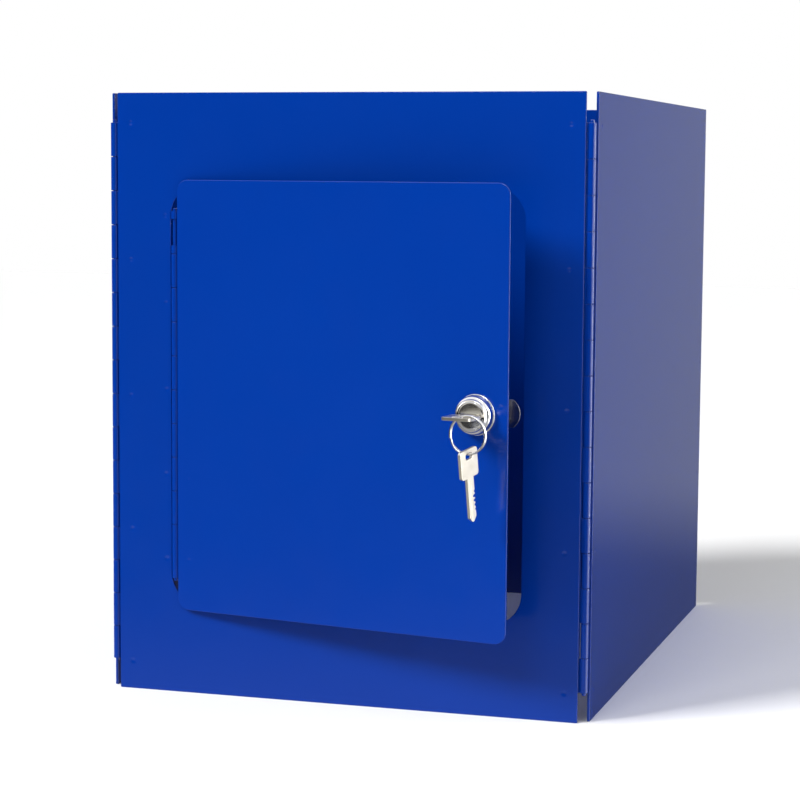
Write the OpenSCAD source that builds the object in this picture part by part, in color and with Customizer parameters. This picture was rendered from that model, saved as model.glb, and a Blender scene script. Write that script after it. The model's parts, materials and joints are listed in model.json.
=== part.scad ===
// Folding book drop box: four sheet-steel panels joined by continuous hinges, with a keyed overlay door.
// X runs across the front, Y runs to the back, Z is up. The box stands on Z = 0.

/* [Panels] */
// Width of the front and back panels
front_w = 356; // [320:1:600]
// Length of the two side panels, front to back
side_l = 457; // [240:1:700]
// Height of all four panels
box_h = 450; // [420:1:800]
// Thickness of the sheet steel
sheet_t = 2; // [1.2:0.1:2.5]

/* [Door opening] */
// Width of the opening in the front panel
opening_w = 271; // [200:1:300]
// Height of the opening
opening_h = 314; // [286:1:360]
// Height of the opening's lower edge above the floor
opening_low = 68; // [20:1:90]
// Radius of the opening's corners
opening_r = 23; // [5:1:60]

/* [Door] */
// How far the door covers the front panel beside the opening
door_lap_side = 6; // [2:0.5:12]
// How far the door covers the front panel above and below the opening
door_lap_ends = 4; // [2:0.5:12]
// Radius of the door's corners
door_r = 9; // [2:1:20]
// Gap between the closed door and the front panel
door_gap = 0.2; // [0.2:0.1:1]
// How far the door stands open at rest, in degrees
door_ajar = 10; // [6:1:40]

/* [Continuous hinges] */
// Length of one hinge knuckle, the pitch of the hinge stock
knuckle_pitch = 25.4; // [15:0.1:40]
// Gap between neighbouring knuckles
knuckle_gap = 0.4; // [0.2:0.1:1]
// Thickness of a hinge leaf
leaf_t = 1.3; // [1:0.1:1.5]
// Width of a leaf, from the hinge's axis to its far edge
leaf_w = 22.2; // [15:0.1:24]
// Outer radius of the rolled knuckles
barrel_r = 2.9; // [2.7:0.05:3.2]
// Radius of the hinge pins
pin_r = 1.55; // [1.2:0.05:1.6]
// Radial clearance of a pin in its knuckles
pin_fit = 0.05; // [0.02:0.01:0.1]
// How far a pin stands out past each end of its hinge
pin_over = 2; // [0:0.5:5]
// Clearance from a corner hinge's barrel to the panel edges beside it
edge_clear = 1; // [0.5:0.1:3]
// Clearance from the corner hinge's axis to the faces of its closed leaves
leaf_clear = 0.3; // [0.2:0.05:0.6]
// Length of the four corner hinges
corner_hinge_l = 406.4; // [150:0.1:418]
// Length of the door hinge
door_hinge_l = 276; // [150:1:284]
// Length of the part knuckle at the top of the door hinge
door_hinge_first = 6.2; // [4:0.1:25.4]
// Clearance from the door hinge's barrel to the opening and to the door's edge
door_hinge_clear = 0.4; // [0.3:0.1:2]
// Depth of the door hinge's axis behind the front panel's outer face
door_axis_in = 0.6; // [0.2:0.1:1]

/* [Back panel holes] */
// Radius of the two fixing holes
fix_hole_r = 3.2; // [2:0.1:6]
// Distance of each fixing hole from the nearest panel end
fix_hole_in = 22; // [12:1:60]

/* [Cam lock] */
// Distance of the lock from the door's free edge
lock_in = 24.4; // [20:0.1:50]
// Height of the lock above the floor
lock_z = 225; // [120:1:300]
// Radius of the threaded barrel
barrel_lock_r = 9.5; // [9:0.1:11]
// Half distance across the barrel's two flats
barrel_flat = 8; // [7.5:0.1:8.8]
// Length of the barrel behind the door's outer face
barrel_l = 18.2; // [17:0.1:22]
// Clearance of the barrel in the door
barrel_fit = 0.15; // [0.05:0.05:0.5]
// Radius of the head's base
head_r = 14; // [13:0.1:18]
// Radius of the head's front rim
rim_r = 11.4; // [10.5:0.1:12]
// How far the head stands out from the door
head_out = 10; // [9:0.5:14]
// Radius of the trim ring
trim_r = 14.6; // [14:0.1:20]
// Thickness of the trim ring
trim_t = 0.8; // [0.5:0.1:1.5]
// Radius of the plug's front disc
plug_face_r = 8.7; // [7.5:0.1:9]
// Depth of the plug's front disc
plug_face_t = 3.8; // [2:0.1:5]
// How far the plug's face lies below the rim
plug_sunk = 0.4; // [0:0.1:2]
// Radius of the plug's stem
plug_r = 6.45; // [6.2:0.05:6.6]
// Radial clearance of the plug in the housing
plug_fit = 0.05; // [0.02:0.01:0.1]
// Side of the plug's square tail
tail_w = 7; // [5:0.1:8]
// Number of wafers in the plug
wafer_n = 5; // [3:1:5]
// Distance from one wafer to the next
wafer_pitch = 3.2; // [2.5:0.1:3.4]
// Thickness of a wafer
wafer_t = 1; // [0.6:0.1:1.2]
// Length and height of a wafer
wafer_l = 11.6; // [10:0.1:11.8]
wafer_h = 5; // [4:0.1:5.2]
// Thickness of the fixing nut
nut_t = 3; // [2:0.1:5]
// Width of the fixing nut across its flats
nut_af = 24; // [22:0.5:30]

/* [Cam] */
// Width of the cam
cam_w = 19.5; // [14:0.1:24]
// Reach of the cam from the lock's axis to its tip
cam_reach = 25.2; // [24:0.1:40]
// Thickness of the cam
cam_t = 2; // [1.5:0.1:3]
// Radius of the cam's rounded tip
cam_tip_r = 11.7; // [10:0.1:24]
// Clearance between the cam and the end of the barrel
cam_gap = 0.4; // [0.3:0.1:1]
// Radius of the screw that holds the cam
screw_r = 2; // [1.5:0.1:2.2]
// Radius and height of the screw's head
screw_head_r = 3.8; // [3:0.1:5]
screw_head_h = 2.2; // [1.5:0.1:3]
// Radius and thickness of the washer under the screw
washer_r = 5; // [4.8:0.1:6]
washer_t = 0.8; // [0.5:0.1:1.5]

/* [Keys] */
// Width and length of the bow
bow_w = 22; // [19:0.5:26]
bow_l = 20; // [18:0.5:30]
// Radius of the bow's corners
bow_r = 2.5; // [1:0.5:7]
// Thickness of a key
key_t = 2.3; // [1.6:0.1:2.5]
// Width of the blade
blade_w = 8; // [6:0.1:8.4]
// Length of the blade from the bow to its tip
blade_l = 31.5; // [24:0.5:32]
// How far the bow stays in front of the plug's face
key_neck = 4.8; // [4:0.1:8]
// Clearance between the blade and the keyway
key_fit = 0.2; // [0.1:0.05:0.3]
// Width and height of the hole in the bow
bow_hole_w = 9; // [7:0.5:11]
bow_hole_h = 4.5; // [4:0.1:6]
// Width of the bow's edge beyond the hole
bow_hole_in = 2.5; // [1.5:0.1:4]

/* [Key ring] */
// Outer radius of the split ring
ring_r = 14; // [12:0.5:18]
// Radius of the ring's wire
wire_r = 0.75; // [0.5:0.05:0.8]
// Clearance between the ring and the keys
ring_fit = 0.3; // [0.25:0.05:0.5]
// How far the spare key is turned about the vertical, in degrees
spare_turn = 6; // [0:1:20]
// How far the spare key leans towards the door, in degrees
spare_lean = 9; // [0:1:12]

/* [Hidden] */
$fn = 64;
hair = 0.01;

paint = [0.0, 0.235, 0.627];
zinc = [0.72, 0.73, 0.75];
chrome = [0.86, 0.87, 0.89];
nickel = [0.78, 0.77, 0.73];
brass = [0.80, 0.66, 0.36];

// corner hinges: the axis lies behind both panels' outer faces by axis_in
bore_r = pin_r + pin_fit;
axis_in = sheet_t + leaf_t + leaf_clear;
corner_gap = axis_in + barrel_r + edge_clear;
axis_x = front_w / 2 + edge_clear + barrel_r;
side_x = axis_x + axis_in;
box_l = side_l + 2 * corner_gap;
corner_hinge_z = (box_h - corner_hinge_l) / 2;
neck_in = bore_r + 0.4;
leaf_in = barrel_r + 0.5;

// door hinge and door, described with the door closed
door_axis_x = -opening_w / 2 + door_hinge_clear + barrel_r;
door_left = door_axis_x + barrel_r + door_hinge_clear;
door_right = opening_w / 2 + door_lap_side;
door_low = opening_low - door_lap_ends;
door_h = opening_h + 2 * door_lap_ends;
door_face_y = -door_gap - sheet_t;
// the door hinge ends before its barrel meets the opening's round corners
door_hinge_h = min(door_hinge_l, opening_h - 2 * (opening_r - sqrt(2 * opening_r * door_hinge_clear)));
door_hinge_z = door_low + (door_h - door_hinge_h) / 2;

// lock: distances along its axis are counted outwards from the door's outer face
lock_x = door_right - lock_in;
plug_face = head_out - plug_sunk;
disc_back = plug_face - plug_face_t;
plug_end = -barrel_l - cam_gap;
cam_back = plug_end - cam_t;
washer_back = cam_back - washer_t;
tip_in = plug_face + key_neck - blade_l;
keyway_end = tip_in - 0.3;
screw_tip = keyway_end - 0.6;
wafer_first = disc_back - 2.4;

// the bow's hole, the ring that hangs in it and the spare key that hangs on the ring
bow_root = plug_face + key_neck;
hole_mid = bow_l - bow_hole_in - bow_hole_h / 2;
web_w = (bow_w - bow_hole_w) / 2;
ring_mid_r = ring_r - wire_r;
ring_in_r = ring_r - 2 * wire_r;
ring_x = bow_hole_w / 2 + web_w / 2;
ring_y = key_t / 2 - sqrt(pow(ring_in_r - ring_fit / 2, 2) - pow(web_w / 2, 2));
ring_z = bow_root + hole_mid;
wire_y = ring_y - ring_mid_r;
hang = bow_l - bow_hole_in - wire_r - ring_fit;

// the origin is at the middle of the whole box's footprint, the ajar door's key ring included
front_reach = door_axis_in - (lock_x + ring_x - door_axis_x) * sin(door_ajar)
    + (door_face_y - door_axis_in - ring_z - bow_w / 2) * cos(door_ajar);
mid_y = (box_l + front_reach) / 2;

module on_floor() translate([0, -mid_y, 0]) children();

// copies a front left corner piece's shape to any of the four corners
module at_corner(right, back)
    on_floor()
    translate([0, back ? box_l : 0, 0])
    mirror([0, back ? 1 : 0, 0])
    mirror([right ? 1 : 0, 0, 0])
    translate([-axis_x, axis_in, corner_hinge_z])
    children();

// swings what is drawn on the closed door to where the door stands at rest
module on_door()
    on_floor()
    translate([door_axis_x, door_axis_in, 0])
    rotate([0, 0, -door_ajar])
    translate([-door_axis_x, -door_axis_in, 0])
    children();

// lock frame: X along the door, Y up, Z outwards from the door's outer face
module on_lock()
    on_door()
    translate([lock_x, door_face_y, lock_z])
    rotate([90, 0, 0])
    children();

// rectangle with round corners, its lower left corner at the origin
module round_rect(w, h, r) {
    translate([r, 0]) square([w - 2 * r, h]);
    translate([0, r]) square([w, h - 2 * r]);
    for (x = [r, w - r], y = [r, h - r]) translate([x, y]) circle(r);
}

// turns a flat XY outline into an upright sheet whose front face is on Y = 0
module upright(t)
    translate([0, t, 0]) rotate([90, 0, 0]) linear_extrude(t) children();

// lower and upper end of each knuckle, counted from the top of the hinge
function knuckle_spans(len, first) = [
    for (i = [0 : ceil((len - first) / knuckle_pitch)])
    let (top = i == 0 ? len : len - first - (i - 1) * knuckle_pitch)
    let (low = max(0, len - first - i * knuckle_pitch))
    if (top - low > 2 * knuckle_gap) [low, top]];

// one leaf with its own knuckles: the axis is Z and the leaf runs along +X, its face at Y = -near
module hinge_leaf(len, first, parity, near) {
    spans = knuckle_spans(len, first);
    own = [for (i = [0 : len(spans) - 1]) if (i % 2 == parity) spans[i]];
    color(zinc)
    difference() {
        union() {
            translate([leaf_in, -near - leaf_t, 0])
                cube([leaf_w - leaf_in, leaf_t, len]);
            for (s = own) translate([0, 0, s[0] + knuckle_gap / 2]) {
                cylinder(r = barrel_r, h = s[1] - s[0] - knuckle_gap);
                translate([neck_in, -near - leaf_t, 0])
                    cube([leaf_in - neck_in + hair, leaf_t, s[1] - s[0] - knuckle_gap]);
            }
        }
        translate([0, 0, -1]) cylinder(r = bore_r, h = len + 2);
    }
}

module hinge_pin(len)
    color(nickel) translate([0, 0, -pin_over]) cylinder(r = pin_r, h = len + 2 * pin_over);

// leaf on a front or back panel
module end_leaf(right, back, parity)
    at_corner(right, back) hinge_leaf(corner_hinge_l, knuckle_pitch, parity, leaf_clear);

// leaf on a side panel
module side_leaf(right, back, parity)
    at_corner(right, back) mirror([1, -1, 0])
    hinge_leaf(corner_hinge_l, knuckle_pitch, parity, leaf_clear);

module corner_pin(right, back)
    at_corner(right, back) hinge_pin(corner_hinge_l);

module front_left_front_leaf() end_leaf(false, false, 0);
module front_left_side_leaf() side_leaf(false, false, 1);
module front_left_pin() corner_pin(false, false);
module front_right_front_leaf() end_leaf(true, false, 1);
module front_right_side_leaf() side_leaf(true, false, 0);
module front_right_pin() corner_pin(true, false);
module back_left_back_leaf() end_leaf(false, true, 0);
module back_left_side_leaf() side_leaf(false, true, 1);
module back_left_pin() corner_pin(false, true);
module back_right_back_leaf() end_leaf(true, true, 1);
module back_right_side_leaf() side_leaf(true, true, 0);
module back_right_pin() corner_pin(true, true);

module back_panel()
    color(paint) on_floor()
    translate([-front_w / 2, box_l - sheet_t, 0])
    difference() {
        cube([front_w, sheet_t, box_h]);
        for (z = [fix_hole_in, box_h - fix_hole_in])
            translate([front_w / 2, -1, z]) rotate([-90, 0, 0])
            cylinder(r = fix_hole_r, h = sheet_t + 2);
    }

module side_panel(side)
    color(paint) on_floor()
    translate([side < 0 ? -side_x : side_x - sheet_t, corner_gap, 0])
    cube([sheet_t, side_l, box_h]);

module left_panel() side_panel(-1);
module right_panel() side_panel(1);

module front_panel()
    color(paint) on_floor()
    upright(sheet_t)
    difference() {
        translate([-front_w / 2, 0]) square([front_w, box_h]);
        translate([-opening_w / 2, opening_low]) round_rect(opening_w, opening_h, opening_r);
    }

module door_panel()
    color(paint) on_door()
    translate([0, door_face_y, 0])
    upright(sheet_t)
    difference() {
        translate([door_left, door_low]) round_rect(door_right - door_left, door_h, door_r);
        translate([lock_x, lock_z]) flatted(barrel_lock_r + barrel_fit, barrel_flat + barrel_fit);
    }

module door_frame_leaf()
    on_floor()
    translate([door_axis_x, door_axis_in, door_hinge_z])
    rotate([0, 0, 180])
    hinge_leaf(door_hinge_h, door_hinge_first, 0, sheet_t - door_axis_in);

module door_leaf()
    on_door()
    translate([door_axis_x, door_axis_in, door_hinge_z])
    hinge_leaf(door_hinge_h, door_hinge_first, 1, door_gap + door_axis_in - leaf_t);

module door_pin()
    on_floor() translate([door_axis_x, door_axis_in, door_hinge_z]) hinge_pin(door_hinge_h);

// circle with two upright flats
module flatted(r, flat)
    intersection() {
        circle(r);
        square([2 * flat, 2 * r + 1], center = true);
    }

// a solid turned about the lock's axis from its half outline
module turned() rotate_extrude() children();

module lock_housing()
    color(chrome) on_lock()
    difference() {
        union() {
            translate([0, 0, -barrel_l]) linear_extrude(barrel_l + trim_t + hair)
                flatted(barrel_lock_r, barrel_flat);
            turned() polygon([[0, trim_t], [head_r, trim_t], [head_r, trim_t + 1.6],
                [head_r - 0.4, trim_t + 3.4], [rim_r + 1.6, head_out - 3.4],
                [rim_r + 1.1, head_out - 2.2], [rim_r + 0.2, head_out - 1.6],
                [rim_r, head_out - 0.5], [rim_r - 0.5, head_out], [0, head_out]]);
        }
        translate([0, 0, -barrel_l - 1]) cylinder(r = plug_r + plug_fit, h = barrel_l + head_out + 2);
        translate([0, 0, disc_back - plug_fit])
            cylinder(r = plug_face_r + plug_fit, h = plug_face_t + head_out);
    }

module lock_trim_ring()
    color(chrome) on_lock()
    difference() {
        turned() polygon([[0, 0], [trim_r, 0], [trim_r, trim_t * 0.5], [trim_r - 0.4, trim_t], [0, trim_t]]);
        translate([0, 0, -1]) cylinder(r = barrel_lock_r + barrel_fit, h = trim_t + 2);
    }

module lock_nut()
    color(nickel) on_lock()
    translate([0, 0, -sheet_t - nut_t])
    difference() {
        rotate([0, 0, 30]) cylinder(r = nut_af / 2 / cos(30), h = nut_t, $fn = 6);
        translate([0, 0, -1]) cylinder(r = barrel_lock_r + barrel_fit, h = nut_t + 2);
    }

module wafer_place()
    for (i = [0 : wafer_n - 1]) translate([0, 0, wafer_first - i * wafer_pitch]) children();

module lock_plug()
    color(chrome) on_lock()
    difference() {
        union() {
            translate([0, 0, disc_back]) cylinder(r = plug_face_r, h = plug_face_t);
            translate([0, 0, plug_end]) cylinder(r = plug_r, h = disc_back - plug_end + hair);
            translate([-tail_w / 2, -tail_w / 2, cam_back])
                cube([tail_w, tail_w, cam_t + hair]);
        }
        translate([-blade_w / 2 - key_fit, -key_t / 2 - key_fit, keyway_end])
            cube([blade_w + 2 * key_fit, key_t + 2 * key_fit, plug_face - keyway_end + 1]);
        wafer_place() translate([-plug_face_r, -wafer_h / 2 - 0.1, -0.1])
            cube([2 * plug_face_r, wafer_h + 0.2, wafer_t + 0.2]);
        translate([0, 0, cam_back - 1]) cylinder(r = screw_r + 0.05, h = screw_tip - cam_back + 1.2);
    }

module lock_wafers()
    color(brass) on_lock()
    wafer_place() linear_extrude(wafer_t)
    difference() {
        square([wafer_l, wafer_h], center = true);
        square([blade_w + 2 * key_fit, key_t + 2 * key_fit], center = true);
    }

module lock_cam()
    color(nickel) on_lock()
    translate([0, 0, cam_back])
    linear_extrude(cam_t)
    difference() {
        union() {
            circle(cam_w / 2);
            translate([0, -cam_w / 2]) square([cam_reach - cam_tip_r, cam_w]);
            intersection() {
                translate([0, -cam_w / 2]) square([cam_reach, cam_w]);
                translate([cam_reach - cam_tip_r, 0]) circle(cam_tip_r);
            }
        }
        square(tail_w + 0.1, center = true);
    }

module cam_washer()
    color(zinc) on_lock()
    translate([0, 0, washer_back])
    linear_extrude(washer_t)
    difference() {
        circle(washer_r);
        circle(screw_r + 0.3);
    }

module cam_screw()
    color(zinc) on_lock()
    difference() {
        union() {
            translate([0, 0, washer_back]) cylinder(r = screw_r, h = screw_tip - washer_back);
            translate([0, 0, washer_back]) mirror([0, 0, 1])
                turned() polygon([[0, 0], [screw_head_r, 0], [screw_head_r, screw_head_h * 0.5],
                    [screw_head_r * 0.6, screw_head_h], [0, screw_head_h]]);
        }
        for (a = [0, 90]) rotate([0, 0, a])
            translate([-screw_head_r * 0.6, -0.4, washer_back - screw_head_h - 1])
            cube([screw_head_r * 1.2, 0.8, 2]);
    }

// depth of the cut that each wafer rests in, from the bow to the tip
function cut_depth(i) = 0.8 + 0.5 * ((i * 3) % 4);

// key blank in the XY plane: bow up along +Y from Y = 0, blade down, plate centred on Z = 0
module key_body()
    color(nickel)
    difference() {
        translate([0, 0, -key_t / 2]) linear_extrude(key_t)
            difference() {
                union() {
                    translate([-bow_w / 2, 0]) round_rect(bow_w, bow_l, bow_r);
                    polygon([[-blade_w / 2, 3], [-blade_w / 2, -blade_l + 3], [-0.6, -blade_l],
                        [0.6, -blade_l], [blade_w / 2, -blade_l + 3], [blade_w / 2, 3]]);
                }
                translate([-bow_hole_w / 2, bow_l - bow_hole_in - bow_hole_h])
                    round_rect(bow_hole_w, bow_hole_h, bow_hole_h / 2 - 0.2);
                for (i = [0 : wafer_n - 1])
                    translate([blade_w / 2, wafer_first + wafer_t / 2 - i * wafer_pitch - bow_root])
                    polygon([[1, 1.6], [-cut_depth(i), 0.5], [-cut_depth(i), -0.5], [1, -1.6]]);
            }
        translate([-blade_w / 2 + 1.6, -blade_l - 1, key_t / 2 - 0.5]) cube([1.8, blade_l, 1]);
    }

module key()
    on_lock() translate([0, 0, bow_root]) rotate([90, 0, 0]) key_body();

module key_ring()
    color(nickel) on_lock()
    translate([ring_x, ring_y, ring_z])
    turned() {
        translate([ring_mid_r, -wire_r]) circle(wire_r, $fn = 32);
        translate([ring_mid_r, wire_r]) circle(wire_r, $fn = 32);
        translate([ring_mid_r - wire_r * 0.5, -wire_r]) square([wire_r, 2 * wire_r]);
    }

module spare_key()
    on_lock()
    translate([ring_x, wire_y, ring_z])
    rotate([0, 90 - spare_turn, 0])
    rotate([0, 0, spare_lean])
    translate([0, -hang, 0])
    key_body();

back_panel();
left_panel();
right_panel();
front_panel();
door_panel();
front_left_front_leaf();
front_left_side_leaf();
front_left_pin();
front_right_front_leaf();
front_right_side_leaf();
front_right_pin();
back_left_back_leaf();
back_left_side_leaf();
back_left_pin();
back_right_back_leaf();
back_right_side_leaf();
back_right_pin();
door_frame_leaf();
door_leaf();
door_pin();
lock_housing();
lock_trim_ring();
lock_nut();
lock_plug();
lock_wafers();
lock_cam();
cam_washer();
cam_screw();
key();
key_ring();
spare_key();
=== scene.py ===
import json
import math
import random

import bpy
from mathutils import Matrix, Vector
from mathutils.geometry import tessellate_polygon


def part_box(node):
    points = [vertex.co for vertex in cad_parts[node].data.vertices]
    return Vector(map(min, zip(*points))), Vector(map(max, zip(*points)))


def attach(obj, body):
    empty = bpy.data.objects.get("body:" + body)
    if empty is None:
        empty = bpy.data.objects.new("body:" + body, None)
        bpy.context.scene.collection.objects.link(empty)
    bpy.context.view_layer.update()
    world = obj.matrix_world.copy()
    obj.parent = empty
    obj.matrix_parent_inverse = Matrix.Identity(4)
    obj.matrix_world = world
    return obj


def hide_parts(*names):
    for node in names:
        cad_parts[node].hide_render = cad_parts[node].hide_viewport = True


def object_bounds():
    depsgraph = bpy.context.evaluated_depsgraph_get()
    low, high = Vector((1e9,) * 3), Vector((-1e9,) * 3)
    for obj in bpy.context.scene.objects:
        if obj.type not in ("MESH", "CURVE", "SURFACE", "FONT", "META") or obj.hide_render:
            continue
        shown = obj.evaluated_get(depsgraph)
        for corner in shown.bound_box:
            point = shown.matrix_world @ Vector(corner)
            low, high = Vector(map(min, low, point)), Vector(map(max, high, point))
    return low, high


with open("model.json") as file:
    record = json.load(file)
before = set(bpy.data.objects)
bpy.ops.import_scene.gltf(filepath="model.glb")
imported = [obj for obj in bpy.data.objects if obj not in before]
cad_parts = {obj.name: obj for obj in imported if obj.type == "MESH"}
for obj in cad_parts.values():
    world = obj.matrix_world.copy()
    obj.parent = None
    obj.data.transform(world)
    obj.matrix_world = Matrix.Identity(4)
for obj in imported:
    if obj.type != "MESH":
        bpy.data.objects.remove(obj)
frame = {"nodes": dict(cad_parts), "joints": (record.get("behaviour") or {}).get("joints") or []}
cadLow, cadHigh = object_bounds()
scene = bpy.context.scene
joints = {joint["name"]: joint for joint in frame["joints"]}
mm = 0.001
up = Vector((0, 0, 1))
print("frame loaded:", len(frame["nodes"]), "nodes")


# places: X to the right seen from outside, Y up, Z out of the face
def facePlace(origin, outward):
    out = Vector(outward).normalized()
    place = Matrix((up.cross(out), up, out)).transposed().to_4x4()
    place.translation = Vector(origin)
    return place


def spanIn(node, place):
    back = place.inverted()
    points = [back @ v.co for v in frame["nodes"][node].data.vertices]
    low = Vector([min(p[i] for p in points) for i in range(3)])
    high = Vector([max(p[i] for p in points) for i in range(3)])
    return low, high


# node trees: arithmetic on a Wire adds Math nodes
class Wire:
    def __init__(self, tree, socket):
        self.tree = tree
        self.socket = socket

    def math(self, operation, *values, clamp=False):
        node = self.tree.nodes.new("ShaderNodeMath")
        node.operation = operation
        node.use_clamp = clamp
        for place, value in zip(node.inputs, values):
            if isinstance(value, Wire):
                self.tree.links.new(value.socket, place)
            else:
                place.default_value = value
        return Wire(self.tree, node.outputs[0])

    def __add__(self, other):
        return self.math("ADD", self, other)

    def __radd__(self, other):
        return self.math("ADD", other, self)

    def __sub__(self, other):
        return self.math("SUBTRACT", self, other)

    def __rsub__(self, other):
        return self.math("SUBTRACT", other, self)

    def __mul__(self, other):
        return self.math("MULTIPLY", self, other)

    def __truediv__(self, other):
        return self.math("DIVIDE", self, other)

    def __pow__(self, other):
        return self.math("POWER", self, other)

    def __mod__(self, other):
        return self.math("FLOORED_MODULO", self, other)

    def __gt__(self, other):
        return self.math("GREATER_THAN", self, other)

    def __lt__(self, other):
        return self.math("LESS_THAN", self, other)

    def clamped(self):
        return self.math("ADD", self, 0.0, clamp=True)

    def lowest(self, other):
        return self.math("MINIMUM", self, other)

    def highest(self, other):
        return self.math("MAXIMUM", self, other)


class Tree:
    def __init__(self, tree):
        self.tree = tree

    # one node: its settings first, then its sockets' values or links
    def add(self, kind, settings=None, sockets=None):
        node = self.tree.nodes.new(kind)
        for name, value in (settings or {}).items():
            if name == "stops":
                self.setStops(node.color_ramp, value)
            else:
                setattr(node, name, value)
        for key, value in (sockets or {}).items():
            if isinstance(value, Wire):
                self.tree.links.new(value.socket, node.inputs[key])
            else:
                node.inputs[key].default_value = value
        return node

    def setStops(self, ramp, stops):
        while len(ramp.elements) < len(stops):
            ramp.elements.new(0.5)
        for element, (place, grey) in zip(ramp.elements, stops):
            element.position = place
            element.color = (grey, grey, grey, 1)

    def wire(self, kind, settings=None, sockets=None, out=0):
        return Wire(self.tree, self.add(kind, settings, sockets).outputs[out])

    def blendColour(self, factor, first, second):
        settings = {"data_type": "RGBA", "clamp_factor": True}
        return self.wire("ShaderNodeMix", settings, {0: factor, 6: first, 7: second}, out=2)

    def noise(self, where, scale, detail=2.0, rough=0.5):
        sockets = {"Vector": where, "Scale": scale, "Detail": detail, "Roughness": rough}
        return self.wire("ShaderNodeTexNoise", None, sockets)

    def ramp(self, value, stops):
        return self.wire("ShaderNodeValToRGB", {"stops": stops}, {0: value})

    def stretched(self, where, scale):
        return self.wire("ShaderNodeMapping", None, {"Vector": where, "Scale": scale})

    def bump(self, height, depth):
        return self.wire("ShaderNodeBump", None, {"Height": height, "Strength": 1.0, "Distance": depth})


# one principled material: the constants go on its own sockets, the builder links what varies
def makeMaterial(name, constants, builder):
    material = bpy.data.materials.new(name)
    material.use_nodes = True
    material.node_tree.nodes.clear()
    tree = Tree(material.node_tree)
    where = tree.wire("ShaderNodeTexCoord", out=3)
    sockets = dict(constants)
    sockets.update(builder(tree, where))
    surface = tree.add("ShaderNodeBsdfPrincipled", None, sockets)
    tree.add("ShaderNodeOutputMaterial", None, {"Surface": Wire(tree.tree, surface.outputs[0])})
    return material


coatLook = {
    "blue": (0.0, 0.026, 0.235, 1),
    "paler": (0.0, 0.03, 0.26, 1),
    "driftScale": 7.0,
    "smudgeScale": 38.0,
    "peelScale": 620.0,
    "grainScale": 2600.0,
    "peelShare": 0.8,         # of the height; the grain has the rest
    "peelDepth": 0.000025,
    "roughness": 0.13,
    "smudgeRough": 0.08,
    "grainRough": 0.05,
}


def coat(tree, where):
    look = coatLook
    drift = tree.noise(where, look["driftScale"], 3.0)
    peel = tree.noise(where, look["peelScale"], 1.5, 0.4)
    grain = tree.noise(where, look["grainScale"], 2.0)
    smudge = tree.noise(where, look["smudgeScale"], 4.0, 0.6)
    uneven = (smudge - 0.5) * look["smudgeRough"]
    return {
        "Base Color": tree.blendColour(drift, look["blue"], look["paler"]),
        "Roughness": look["roughness"] + uneven + (grain - 0.5) * look["grainRough"],
        "Normal": tree.bump(peel * look["peelShare"] + grain * (1 - look["peelShare"]), look["peelDepth"]),
    }


def chrome(tree, where):
    haze = tree.noise(where, 240.0, 3.0)
    scuff = tree.noise(tree.stretched(where, (1.0, 1.0, 18.0)), 900.0, 2.0)
    line = tree.ramp(scuff, [(0.62, 0.0), (0.7, 1.0)])
    return {
        "Base Color": tree.blendColour(haze, (0.74, 0.74, 0.76, 1), (0.8, 0.8, 0.82, 1)),
        "Roughness": 0.05 + haze * 0.04 + line * 0.1,
        "Normal": tree.bump(scuff, 0.000004),
    }


# haze is (scale, detail); lines are (stretch along Z, scale); rough is (least, with haze, with lines)
metals = {
    "satin": {
        "haze": (200.0, 3.0), "lines": (10.0, 1600.0), "rough": (0.17, 0.08, 0.08), "depth": 0.000015,
        "tones": ((0.66, 0.66, 0.66, 1), (0.76, 0.76, 0.75, 1)),
    },
    "brass": {
        "haze": (300.0, 3.0), "lines": (14.0, 1800.0), "rough": (0.25, 0.15, 0.0), "depth": 0.00001,
        "tones": ((0.58, 0.42, 0.16, 1), (0.68, 0.53, 0.25, 1)),
    },
    "spring": {
        "haze": (260.0, 3.0), "lines": (1.0, 2200.0), "rough": (0.12, 0.12, 0.0), "depth": 0.000008,
        "tones": ((0.68, 0.68, 0.68, 1), (0.8, 0.8, 0.79, 1)),
    },
}


def metal(name):
    look = metals[name]

    def build(tree, where):
        haze = tree.noise(where, *look["haze"])
        stretch, scale = look["lines"]
        lines = tree.noise(tree.stretched(where, (1.0, 1.0, stretch)), scale)
        least, withHaze, withLines = look["rough"]
        return {
            "Base Color": tree.blendColour(haze, *look["tones"]),
            "Roughness": least + haze * withHaze + (lines - 0.5) * withLines,
            "Normal": tree.bump(lines, look["depth"]),
        }
    return build


def nickel(tree, where):
    haze = tree.noise(where, 160.0, 4.0, 0.6)
    brushed = tree.noise(tree.stretched(where, (1.0, 1.0, 12.0)), 1500.0, 3.0)
    knock = tree.wire("ShaderNodeTexVoronoi", None, {"Vector": where, "Scale": 420.0})
    pit = tree.ramp(knock, [(0.0, 1.0), (0.12, 0.0)])
    tone = tree.blendColour(haze, (0.76, 0.7, 0.58, 1), (0.88, 0.84, 0.74, 1))
    return {
        "Base Color": tree.blendColour(pit, tone, (0.45, 0.41, 0.34, 1)),
        "Roughness": 0.26 + haze * 0.16 + (brushed - 0.5) * 0.12,
        "Normal": tree.bump(brushed * 0.5 - pit * 0.5, 0.00003),
    }


def zinc(tree, where):
    spangle = tree.wire("ShaderNodeTexVoronoi", {"feature": "F1"}, {"Vector": where, "Scale": 330.0}, 1)
    grey = tree.wire("ShaderNodeRGBToBW", None, {0: spangle})
    haze = tree.noise(where, 90.0, 4.0)
    brushed = tree.noise(tree.stretched(where, (1.0, 1.0, 9.0)), 1300.0, 2.0)
    return {
        "Base Color": tree.blendColour(grey, (0.24, 0.24, 0.26, 1), (0.36, 0.36, 0.38, 1)),
        "Roughness": 0.16 + haze * 0.1 + (brushed - 0.5) * 0.08,
        "Normal": tree.bump(brushed, 0.00002),
    }


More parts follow.
